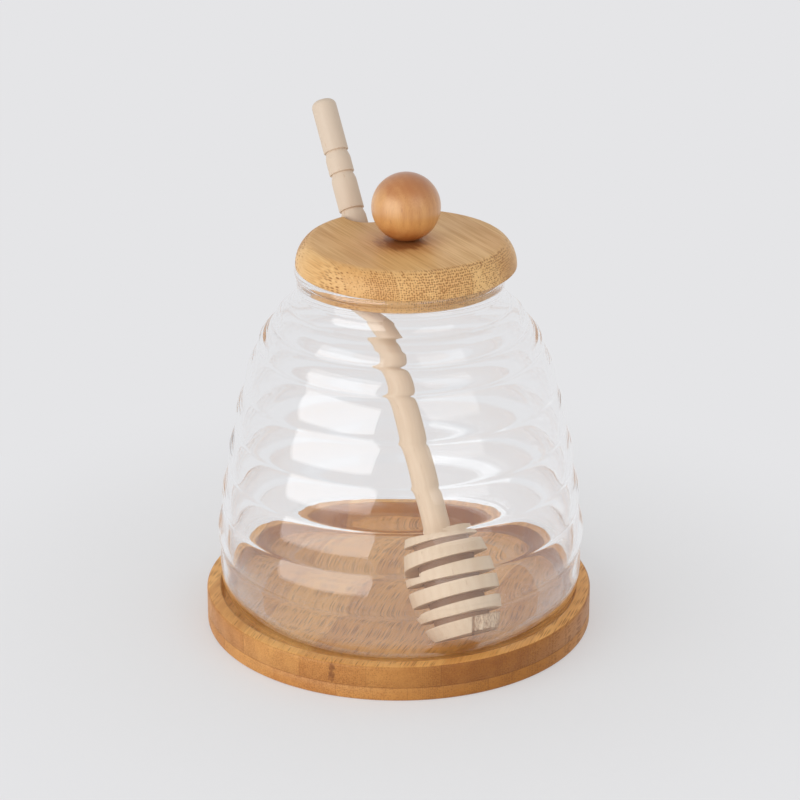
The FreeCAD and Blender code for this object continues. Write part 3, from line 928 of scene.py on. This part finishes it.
@dataclass
class Jar(Piece):
    """Clear glass jar with level ribs, a rounded foot, a short neck and a beaded rim."""

    node = "jar"
    slot = "jar_glass"
    place: Place = (0.6 * MM, 0.0, 5.0 * MM)
    height: float = 110.7 * MM
    wall: float = 1.5 * MM
    bottom: float = 2.2 * MM
    corner: float = 12.5 * MM
    foot_wall: float = 56.1 * MM
    belly: Spot = (55.8 * MM, 20.0 * MM)  # in its groove: radius and height
    waist: Spot = (51.896 * MM, 52.0 * MM)
    upper: Spot = (44.893 * MM, 81.0 * MM)
    shoulder: Spot = (40.794 * MM, 90.0 * MM)
    collar: Spot = (33.4 * MM, 99.6 * MM)
    neck: float = 31.4 * MM
    neck_length: float = 7.7 * MM
    neck_wall: float = 2.1 * MM
    rim_radius: float = 32.0 * MM
    bead: float = 1.5 * MM
    rib_depth: float = 1.1 * MM  # at the belly
    rib_depth_top: float = 0.9 * MM  # at the collar
    groove_softness: float = 0.2
    lowest_groove: float = 20.0 * MM
    shoulder_groove: float = 85.0 * MM
    body_ribs: int = 5
    shoulder_ribs: int = 2
    rib_steps: int = 18
    rib_evenness: float = 0.35  # 0 draws a rib's points closest together at its grooves
    corner_steps: int = 24
    inner_corner_steps: int = 20
    collar_steps: int = 14
    bead_steps: int = 28
    steps: int = 192

    def stations(self) -> list[Spot]:
        """(height, radius) of the wall in its grooves where its shape is set."""
        neck_foot = self.height - self.neck_length
        spots = [self.belly, self.waist, self.upper, self.shoulder, self.collar]
        return [
            (self.corner, self.foot_wall - self.rib_depth),
            *[(height, radius) for radius, height in spots],
            (neck_foot, self.neck),
        ]

    def groove_radius(self, height: float) -> float:
        """Radius of the wall in its grooves, run smoothly through the stations.

        Args:
            height: Height above the jar's foot.

        Returns:
            The radius there.
        """
        spots = self.stations()
        spans = list(zip(spots, spots[1:]))
        slopes = [(r1 - r0) / (z1 - z0) for (z0, r0), (z1, r1) in spans]
        pulls = [0.0]
        for before, after in zip(slopes, slopes[1:]):
            pulls.append(2 * before * after / (before + after) if before * after > 0 else 0.0)
        pulls.append(0.0)
        where = min(max(height, spots[0][0]), spots[-1][0])
        k = max(i for i, (z, _) in enumerate(spots[:-1]) if z <= where)
        (z0, r0), (z1, r1) = spans[k]
        step = z1 - z0
        share = (where - z0) / step
        rest = 1 - share
        ends = r0 * rest**2 * (1 + 2 * share) + r1 * share**2 * (3 - 2 * share)
        return ends + step * (pulls[k] * share * rest**2 - pulls[k + 1] * share**2 * rest)

    def grooves(self) -> list[float]:
        """Heights of the grooves between the ribs, from the foot corner up to the collar."""
        low, middle, top = self.lowest_groove, self.shoulder_groove, self.collar[1]
        body = [low + (middle - low) * k / self.body_ribs for k in range(self.body_ribs)]
        count = self.shoulder_ribs
        above = [middle + (top - middle) * k / count for k in range(count + 1)]
        return [self.corner, *body, *above]

    def swell(self, height: float) -> float:
        """How far the wall stands out of its grooves at a height, most on a rib's crest."""
        grooves = self.grooves()
        fade = max(height - self.belly[1], 0.0) / (self.collar[1] - self.belly[1])
        depth = self.rib_depth + (self.rib_depth_top - self.rib_depth) * fade
        soft = self.groove_softness
        for low, high in zip(grooves, grooves[1:]):
            if low <= height <= high:
                share = (height - low) / (high - low)
                # The lowest rib starts at its crest, where the foot's corner ends.
                across = 0.5 + share / 2 if low == grooves[0] else share
                bulge = math.hypot(math.sin(math.pi * across), soft) - soft
                return depth * bulge / (math.hypot(1.0, soft) - soft)
        return 0.0

    def inner_radius(self, height: float) -> float:
        """Inner radius of the wall at a height below the neck."""
        nudge = 0.01 * MM
        rise = self.groove_radius(height + nudge) - self.groove_radius(height - nudge)
        wall = self.wall * math.hypot(1.0, rise / (2 * nudge))
        return self.groove_radius(height) - wall + self.swell(height)

    def rib_heights(self) -> list[float]:
        """Heights at which the ribbed wall is drawn, closer together near the grooves."""
        grooves = self.grooves()
        shares = []
        for even in (k / self.rib_steps for k in range(self.rib_steps)):
            crowded = 0.5 - 0.5 * math.cos(math.pi * even)
            shares.append(crowded + (even - crowded) * self.rib_evenness)
        ribs = zip(grooves, grooves[1:])
        heights = [low + (high - low) * share for low, high in ribs for share in shares]
        return [*heights, grooves[-1]]

    def outline(self) -> list[Spot]:
        """The glass's half section, from the middle of its foot up outside and down inside."""
        neck_foot = self.height - self.neck_length
        bore = self.neck - self.neck_wall
        ribs = [(self.groove_radius(z) + self.swell(z), z) for z in self.rib_heights()]
        collar = level_arc(ribs[-1], (self.neck, neck_foot), neck_foot, self.collar_steps)
        (x0, y0), (x1, _) = collar[0], collar[-1]
        centre = ((x1**2 - x0**2 - (y0 - neck_foot) ** 2) / (2 * (x1 - x0)), neck_foot)
        reach = math.dist(centre, collar[0])
        spread = (reach + self.neck_wall) / reach
        inner_collar = tuple(c + (side - c) * spread for c, side in zip(centre, collar[0]))
        bead = (self.rim_radius - self.bead, self.height - self.bead)
        outer_joint = math.degrees(math.asin((self.neck - bead[0]) / self.bead))
        inner_joint = math.degrees(math.asin((bead[0] - bore) / self.bead))
        inner_top = inner_collar[1] - self.wall
        inside = [(self.inner_radius(z), z) for z in self.rib_heights() if z < inner_top]
        inner_corner = self.corner - self.bottom
        inner_edge = inside[0][0] - inner_corner
        foot_edge = self.foot_wall - self.corner
        return [
            *[(foot_edge * share, 0.0) for share in (0.0, 0.3, 0.6, 0.85)],
            *curved((foot_edge, self.corner), self.corner, -90, 0, self.corner_steps)[:-1],
            *ribs,
            *collar[1:],
            *curved(bead, self.bead, outer_joint - 90, 270 - inner_joint, self.bead_steps),
            *level_arc((bore, neck_foot), inner_collar, neck_foot, self.collar_steps),
            *reversed(inside),
            *curved((inner_edge, self.corner), inner_corner, 0, -90, self.inner_corner_steps)[1:],
            *[(inner_edge * share, self.bottom) for share in (0.8, 0.5, 0.25, 0.0)],
        ]

    def formed(self) -> bpy.types.Object:
        """Makes the jar."""
        piece = spun("jar_glass", self.outline(), self.steps)
        put(piece, Vector(self.place))
        return piece


@dataclass
class Lid(Piece):
    """Bamboo disc with a full rounded edge, a plug under it and a slot for the dipper."""

    node = "lid"
    slot = "lid_bamboo"
    place: Place = (2.25 * MM, 0.4 * MM, 115.7 * MM)
    radius: float = 33.3 * MM
    face_radius: float = 27.9 * MM
    thick: float = 8.0 * MM
    top_round: float = 3.9 * MM
    land: float = 0.3 * MM
    plug_radius: float = 27.2 * MM
    plug_depth: float = 4.7 * MM
    slot_half: float = 6.8 * MM
    slot_heading: float = math.radians(118.342)
    slot_reach: float = 25.32 * MM
    plug_slot_reach: float = 22.07 * MM
    slot_steps: int = 64
    overcut: float = 1.0 * MM
    soft_edge: float = 0.35 * MM
    soften_from: float = math.radians(50)
    smooth_below: float = math.radians(32)
    arc_steps: int = 12
    steps: int = 160

    def outline(self) -> list[Spot]:
        """The lid's half section, from under the plug round to the middle of its face."""
        widening = self.radius - self.face_radius - self.top_round
        falling = self.thick - self.land - self.top_round
        turn = 2 * math.degrees(math.atan2(widening, falling))
        middle = (self.face_radius, self.thick - self.top_round)
        tight = curved(middle, self.top_round, turn, 90, self.arc_steps)
        edge = level_arc((self.radius, self.land), tight[0], self.land, self.arc_steps)
        soft = self.soft_edge
        return [
            (0.0, -self.plug_depth),
            (self.plug_radius * 0.6, -self.plug_depth),
            *curved((self.plug_radius - soft, soft - self.plug_depth), soft, -90, 0, 5),
            (self.plug_radius, 0.0),
            (self.radius - 0.8 * soft, 0.0),
            *edge,
            *tight[1:],
            (self.face_radius * 0.6, self.thick),
            (0.0, self.thick),
        ]

    def cut_slot(self, piece: bpy.types.Object, reach: float, low: float, high: float) -> None:
        """Cuts a round-ended slot, open at the rim.

        Args:
            piece: The lid, drawn with the middle of its underside at the origin.
            reach: How far from the middle the round end is centred.
            low: Height at which the cut starts.
            high: Height at which it ends.
        """
        nothing_selected()
        bpy.ops.mesh.primitive_cylinder_add(
            vertices=self.slot_steps,
            radius=self.slot_half,
            depth=high - low,
            location=(reach, 0, (low + high) / 2),
        )
        cutter = bpy.context.object
        bpy.ops.object.transform_apply(location=True, rotation=True, scale=True)
        pick_points(cutter, lambda spot: spot.x > reach + TOUCHING)
        bpy.ops.object.mode_set(mode="EDIT")
        bpy.ops.transform.translate(value=(self.radius + self.slot_half - reach, 0, 0))
        bpy.ops.object.mode_set(mode="OBJECT")
        put(cutter, Vector(ORIGIN), 0.0, self.slot_heading)
        apply_modifier(piece, "BOOLEAN", object=cutter, operation="DIFFERENCE", solver="EXACT")
        bpy.data.objects.remove(cutter)

    def formed(self) -> bpy.types.Object:
        """Makes the lid."""
        piece = spun("lid_disc", self.outline(), self.steps)
        self.cut_slot(piece, self.slot_reach, -TOUCHING, self.thick + self.overcut)
        self.cut_slot(piece, self.plug_slot_reach, -self.plug_depth - self.overcut, 0.0)
        limit = {"limit_method": "ANGLE", "angle_limit": self.soften_from}
        apply_modifier(piece, "BEVEL", width=self.soft_edge, segments=3, **limit)
        put(piece, Vector(self.place))
        only(piece)
        bpy.ops.object.shade_smooth_by_angle(angle=self.smooth_below)
        return piece


@dataclass
class Knob(Piece):
    """Wooden ball on a small flat in the middle of the lid."""

    node = "knob"
    slot = "knob_wood"
    lid: Lid
    radius: float = 10.4 * MM
    flat: float = 0.3 * MM
    arc_steps: int = 80
    steps: int = 128

    def middle(self) -> Vector:
        """The ball's middle."""
        return Vector(self.lid.place) + Vector((0, 0, self.lid.thick + self.radius - self.flat))

    def formed(self) -> bpy.types.Object:
        """Makes the knob."""
        start = -math.degrees(math.asin((self.radius - self.flat) / self.radius))
        arc = curved((0.0, 0.0), self.radius, start, 90, self.arc_steps)
        foot, low = arc[0]
        outline = [(0.0, low), (foot * 0.5, low), *arc[:-1], (0.0, self.radius)]
        piece = spun("knob_ball", outline, self.steps)
        put(piece, self.middle())
        return piece


@dataclass
class Dipper(Piece):
    """Turned honey dipper: a barrel head cut into discs, and a handle with three cut rings."""

    node = "dipper"
    slot = "dipper_wood"
    foot: Place = (20.168 * MM, -41.912 * MM, 12.703 * MM)
    lean: float = math.radians(34.62)
    heading: float = math.radians(116.7)
    length: float = 171.4 * MM
    handle_foot: float = 4.05 * MM
    handle_end: float = 3.85 * MM
    end_round: float = 2.2 * MM
    head_foot: float = 9.6 * MM
    head_wide: float = 13.6 * MM
    head_wide_height: float = 15.3 * MM
    head_top: float = 10.3 * MM
    core: float = 8.5 * MM
    gap: float = 2.05 * MM  # between two discs
    discs: tuple[float, ...] = (4.3 * MM, 3.1 * MM, 4.2 * MM, 3.3 * MM, 4.1 * MM, 3.1 * MM)
    ring_drops: tuple[float, ...] = (36.0 * MM, 24.1 * MM, 16.9 * MM)
    ring_depth: float = 0.65 * MM
    ring_width: float = 2.6 * MM
    ring_round: float = 0.2 * MM
    neck_round: float = 0.4 * MM  # where the handle meets the head
    disc_round: float = 0.22 * MM
    torn_from: float = 1.9 * MM  # along X from the foot, where the foot disc's side is torn
    torn_depth: float = 1.1 * MM
    splinter: float = 0.9 * MM
    crack_depth: float = 0.9 * MM
    crack_half: float = 0.55 * MM
    smooth_below: float = math.radians(40)
    arc_steps: int = 4
    side_steps: int = 7  # up the side of a disc
    torn_steps: int = 14  # up the side of the foot disc
    steps: int = 240

    def head_height(self) -> float:
        """Height of the head's top above its foot."""
        return sum(self.discs) + self.gap * (len(self.discs) - 1)

    def barrel(self, height: float) -> float:
        """Radius of the head's outside at a height above its foot."""
        level = self.head_wide_height
        below = height < level
        end = self.head_foot if below else self.head_top
        drop = -level if below else self.head_height() - level
        middle = (self.head_wide**2 - end**2 - drop**2) / (2 * (self.head_wide - end))
        bow = self.head_wide - middle
        return middle + math.sqrt(bow**2 - (height - level) ** 2)

    def handle_radius(self, height: float) -> float:
        """Radius of the handle at a height above the head's foot."""
        start = self.head_height()
        share = (height - start) / (self.length - self.end_round - start)
        return self.handle_foot + (self.handle_end - self.handle_foot) * share

    def disc_outline(self, low: float, high: float, last: bool) -> list[Spot]:
        """Outline of one disc of the head, from its underside round to its top.

        Args:
            low: Height of its underside.
            high: Height of its top.
            last: Whether it is the disc at the foot, which is whole underneath.

        Returns:
            The points, from inside out and back.
        """
        soft = self.disc_round
        under, over = self.barrel(low + soft) - soft, self.barrel(high - soft) - soft
        start = [(0.0, low), (self.core * 0.5, low)] if last else [(self.core, low)]
        stretches = self.torn_steps if last else self.side_steps
        side = [low + soft + (high - low - 2 * soft) * k / stretches for k in range(1, stretches)]
        return [
            *start,
            ((self.core + under) / 2, low),
            *curved((under, low + soft), soft, -90, 0, self.arc_steps),
            *[(self.barrel(z), z) for z in side],
            *curved((over, high - soft), soft, 0, 90, self.arc_steps),
            ((self.core + over) / 2, high),
            (self.core, high),
        ]

    def outline(self) -> list[Spot]:
        """The dipper's half section, from the middle of its foot up to the middle of its end."""
        points: list[Spot] = []
        low = 0.0
        for number, thick in enumerate(self.discs):
            points += self.disc_outline(low, low + thick, number == 0)
            low += thick + self.gap
        top, soft, arc = self.head_height(), self.neck_round, self.arc_steps
        points[-1] = (self.handle_foot + soft + 0.1 * MM, top)
        points += curved((self.handle_foot + soft, top + soft), soft, -90, -180, arc)
        for drop in self.ring_drops:
            step = self.length - drop
            fade = step - self.ring_width
            points += self.straight(points[-1][1], fade, 6)
            points.append((self.handle_radius(fade), fade))
            for share in (0.15, 0.4, 0.65, 0.85, 1.0):
                z = fade + self.ring_width * share
                points.append((self.handle_radius(z) - self.ring_depth * share**1.4, z))
            lip = self.ring_round
            points += curved((self.handle_radius(step) - lip, step + lip * 1.1), lip, -90, 0, arc)
        end = self.length - self.end_round
        points += self.straight(points[-1][1], end, 4)
        points += curved((self.handle_end - self.end_round, end), self.end_round, 0, 90, 10)
        return [*points, (0.0, self.length)]

    def straight(self, low: float, high: float, stretches: int) -> list[Spot]:
        """Points of the handle between two heights, without the ends.

        Args:
            low: The lower height.
            high: The upper height.
            stretches: How many stretches lie between the two.

        Returns:
            The points.
        """
        heights = [low + (high - low) * k / stretches for k in range(1, stretches)]
        return [(self.handle_radius(z), z) for z in heights]

    def tear(self, piece: bpy.types.Object) -> None:
        """Cracks the side of the foot disc and roughens it with splinters, as where the wood tore.

        Args:
            piece: The dipper in its place.
        """
        foot = Vector(self.foot)
        upright = Euler((0.0, self.lean, self.heading))
        axis = upright.to_matrix() @ Vector((0, 0, 1))
        top = self.discs[0] - self.disc_round

        def on_side(spot: Vector) -> float:
            """How much a point belongs to the disc's front side, from 0 to 1."""
            up = (spot - foot).dot(axis)
            out = (spot - foot - axis * up).length
            if up >= top or spot.y >= foot.y + self.crack_half:
                return 0.0
            return clamped((out - self.head_foot + self.splinter) / (0.3 * MM))

        def torn(spot: Vector) -> float:
            """How torn a point is, from 0 to 1."""
            return on_side(spot) * clamped((spot.x - foot.x - self.torn_from) / (0.8 * MM))

        def cracked(spot: Vector) -> float:
            """How deep in the crack a point is, from 0 to 1."""
            away = abs(spot.x - foot.x - self.torn_from) / self.crack_half
            return on_side(spot) * clamped(1.0 - away)

        group_points(piece, "torn", torn)
        group_points(piece, "cracked", cracked)
        nothing_selected()
        bpy.ops.object.empty_add(location=foot, rotation=upright)
        ruler = bpy.context.object
        ruler.scale = (1.0, 1.0, 4.0)
        splinters = bpy.data.textures.new("splinters", "CLOUDS")
        splinters.noise_scale = self.splinter
        splinters.noise_depth = 2
        splinters.intensity = 1.0
        splinters.contrast = 1.6
        read = {"texture": splinters, "texture_coords": "OBJECT", "texture_coords_object": ruler}
        depths = {"strength": -self.torn_depth, "mid_level": 0.25}
        apply_modifier(piece, "DISPLACE", vertex_group="torn", **read, **depths)
        depths = {"strength": -self.crack_depth, "mid_level": 0.0}
        apply_modifier(piece, "DISPLACE", vertex_group="cracked", **depths)
        bpy.data.objects.remove(ruler)

    def formed(self) -> bpy.types.Object:
        """Makes the dipper."""
        piece = spun("dipper_turned", self.outline(), self.steps)
        put(piece, Vector(self.foot), self.lean, self.heading)
        self.tear(piece)
        only(piece)
        bpy.ops.object.shade_smooth_by_angle(angle=self.smooth_below)
        return piece


# ---------------------------------------------------------------- studio


@dataclass
class Lamp:
    """A large soft rectangular lamp aimed at the pot."""

    name: str
    azimuth: float  # in degrees from straight behind the camera, to its right
    elevation: float
    distance: float
    width: float
    height: float
    radiance: float
    aim: Place = (0.0, 0.0, 0.06)

    def build(self) -> None:
        """Hangs the lamp."""
        turn, rise = math.radians(self.azimuth), math.radians(self.elevation)
        level = math.cos(rise)
        away = Vector((math.sin(turn) * level, -math.cos(turn) * level, math.sin(rise)))
        nothing_selected()
        bpy.ops.object.light_add(type="AREA", location=Vector(self.aim) + away * self.distance)
        lamp = bpy.context.object
        lamp.name = self.name
        lamp.rotation_euler = away.to_track_quat("Z", "Y").to_euler()
        lamp.data.shape = "RECTANGLE"
        lamp.data.size = self.width
        lamp.data.size_y = self.height
        lamp.data.energy = self.radiance * math.pi * self.width * self.height


@dataclass
class Studio:
    """Pale floor and surroundings, soft lamps and the camera."""

    floor_size: float = 6.0
    bounces: int = 64
    sky_light: float = 0.58
    back_colour: Colour = paint(229, 229, 231)
    camera_place: Place = (0.00043, -0.77905, 0.38662)
    camera_pitch: float = math.radians(68.0)
    lens: float = 123.6
    sensor: float = 36.0
    lamps: tuple[Lamp, ...] = (
        Lamp("window_left", -48.0, 11.0, distance=1.2, width=1.4, height=1.1, radiance=2.1),
        Lamp("window_right", 40.0, 30.0, distance=1.3, width=0.9, height=0.9, radiance=0.9),
    )

    def floor(self) -> None:
        """Lays the floor."""
        nothing_selected()
        bpy.ops.mesh.primitive_plane_add(size=self.floor_size, location=ORIGIN)
        ground = bpy.context.object
        ground.name = "ground"
        ground.data.materials.append(PaleGround("pale_ground").made())

    def glass_bounces(self) -> None:
        """Lets light cross every wall of the jar instead of giving up inside its glass."""
        cycles = bpy.context.scene.cycles
        for kind in ("max_bounces", "transmission_bounces", "glossy_bounces"):
            setattr(cycles, kind, self.bounces)

    def surroundings(self) -> None:
        """Sets the even light all round, and the pale back that the camera and the glass see."""
        world = bpy.data.worlds.new("studio")
        bpy.context.scene.world = world
        bench = Bench(world)
        seen = bench.ray(Ray.CAMERA).larger(bench.ray(Ray.GLOSSY))
        seen = seen.larger(bench.ray(Ray.TRANSMISSION))
        inputs = {"Color": rgba(EVEN), "Strength": self.sky_light}
        light = bench.node("ShaderNodeBackground", None, inputs)[0]
        mixed = bench.either(seen, light, bench.plain("Background", self.back_colour))
        bench.node("ShaderNodeOutputWorld", None, {"Surface": mixed})

    def camera(self) -> None:
        """Sets up the camera."""
        nothing_selected()
        turn = (self.camera_pitch, 0.0, 0.0)
        bpy.ops.object.camera_add(location=self.camera_place, rotation=turn)
        camera = bpy.context.object
        camera.data.lens = self.lens
        camera.data.sensor_width = self.sensor
        camera.data.clip_start = 0.01
        bpy.context.scene.camera = camera

    def build(self) -> None:
        """Sets up the whole studio."""
        bpy.context.scene.view_settings.view_transform = "Standard"
        self.floor()
        self.glass_bounces()
        self.surroundings()
        for lamp in self.lamps:
            lamp.build()
        self.camera()


# ---------------------------------------------------------------- the whole pot


def main() -> None:
    """Builds every piece, dresses it and sets up the studio."""
    logging.basicConfig(level=logging.INFO, format="%(name)s: %(message)s")
    saucer = Saucer()
    lid = Lid()
    knob = Knob(lid)
    dipper = Dipper()
    saucer_bamboo = Bamboo(
        "saucer_bamboo",
        heading=72.0,
        light=paint(216, 156, 86),
        dark=paint(172, 104, 42),
        dot=paint(128, 70, 24),
        fine_spacing=0.42 * MM,
        coarse_spacing=0.56 * MM,
        fibre_stretch=14.0,
        strip_width=21.0 * MM,
        strip_contrast=0.28,
        streaks=0.62,
        dots=0.34,
        seam_height=saucer.seam_height,
        # Painted light on the level faces.
        painted_level_light=(1.38, 1.54, 1.70),
        # Painted shade towards the right of the cut edge.
        painted_edge_shade=(0.60, 0.48, 0.22),
        knot_place=(-19.7 * MM, -56.6 * MM, 8.0 * MM),
    )
    lid_bamboo = Bamboo(
        "lid_bamboo",
        heading=-61.0,
        light=paint(240, 197, 134),
        dark=paint(204, 147, 82),
        dot=paint(142, 86, 32),
        fine_spacing=0.54 * MM,
        coarse_spacing=0.66 * MM,
        fibre_stretch=40.0,
        strip_contrast=0.2,
        streaks=0.2,
        dots=0.82,
        seam_height=-20.0 * MM,
        stain=0.75,
        stain_place=(1.0 * MM, -3.6 * MM, 0.0),
    )
    knob_wood = TurnedWood(
        "knob_wood",
        light=paint(226, 172, 106),
        dark=paint(180, 111, 52),
        fleck=paint(150, 88, 44),
        core=paint(150, 88, 44),
        foot=tuple(knob.middle()),
        gloss=0.42,
        coat=1.0,
        blush=0.4,
        figure=0.75,
        end_height=knob.radius,
        grain=1300.0,
    )
    dipper_wood = TurnedWood(
        "dipper_wood",
        light=paint(240, 217, 190),
        dark=paint(214, 181, 147),
        fleck=paint(190, 152, 114),
        # Painted shade between the discs and in the crack.
        core=paint(152, 106, 74),
        foot=dipper.foot,
        lean=dipper.lean,
        heading=dipper.heading,
        painted_shade_radius=8.6 * MM,
        painted_shade_height=30.0 * MM,
        gloss=0.55,
        figure=0.6,
        pale_height=dipper.length,
        pale=paint(214, 198, 181),
        torn_from=dipper.torn_from,
        torn_height=dipper.discs[0],
    )
    saucer.build(saucer_bamboo)
    Jar().build(ClearGlass("jar_glass"))
    lid.build(lid_bamboo)
    knob.build(knob_wood)
    dipper.build(dipper_wood)
    Studio().build()


if __name__ == "__main__":
    main()
